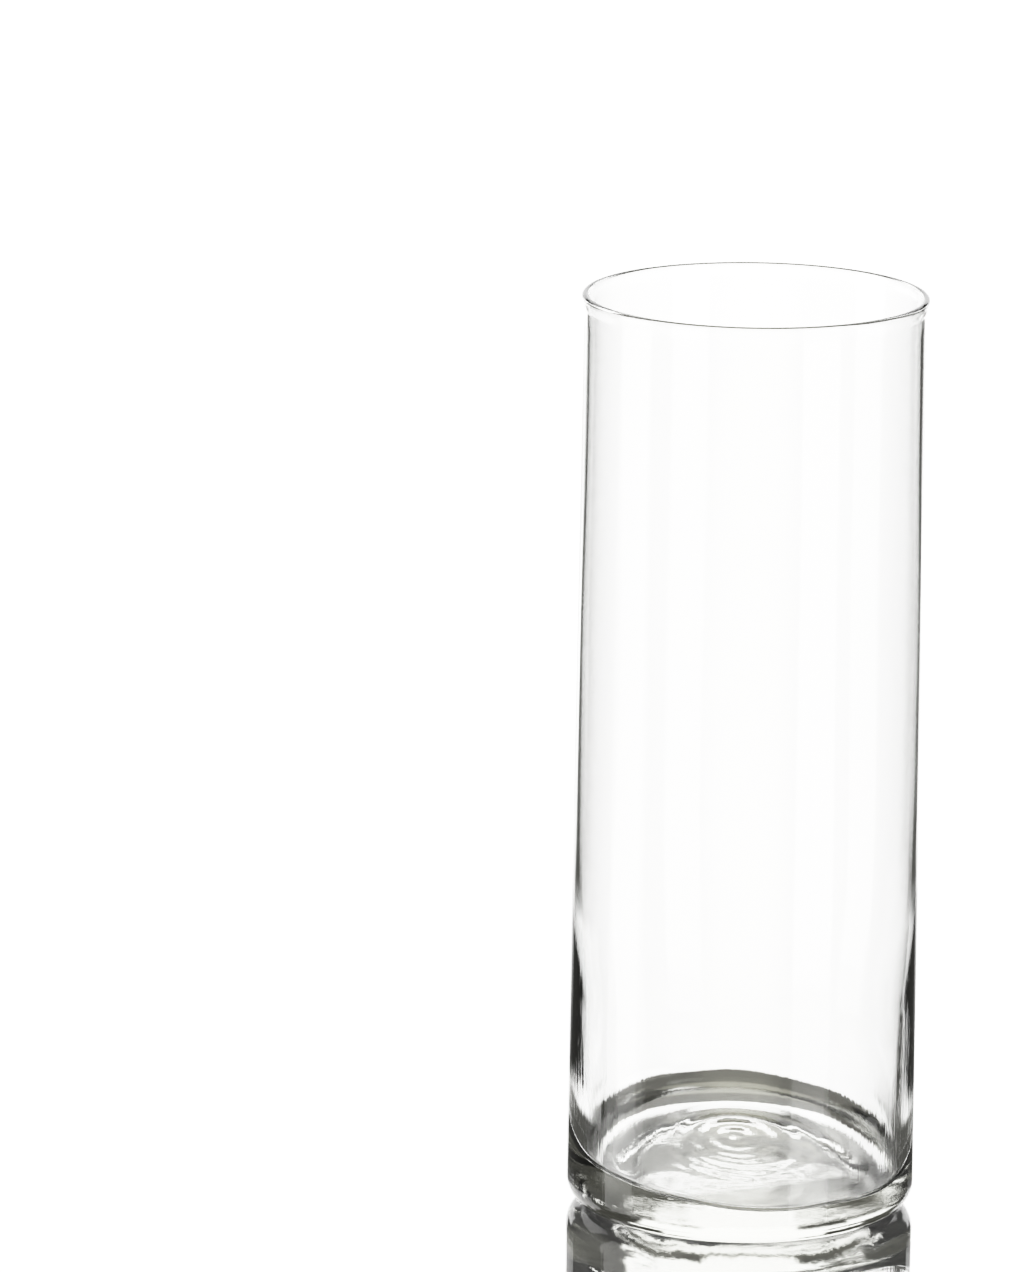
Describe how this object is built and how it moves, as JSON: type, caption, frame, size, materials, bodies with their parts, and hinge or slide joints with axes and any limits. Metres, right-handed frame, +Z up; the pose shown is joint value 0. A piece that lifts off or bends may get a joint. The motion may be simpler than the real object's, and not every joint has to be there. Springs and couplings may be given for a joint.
{
  "type": "glass cylinder vase",
  "caption": "Tall straight-sided clear glass vase, open at the top, with a rounded lip, a heavy base and a wall that thickens towards the foot.",
  "frame": {"origin": "centre of the ring that the vase stands on, on the table plane", "axes": "+Z up along the vase's axis of turning, from the foot to the open mouth; X and Y are alike"},
  "size_m": [0.086, 0.086, 0.2286],
  "materials": {
    "clear_glass": "clear soda-lime glass, fire-polished, faint grey-green in its thick parts"
  },
  "bodies": {
    "root": {"vase_body": "clear_glass"}
  },
  "joints": []
}
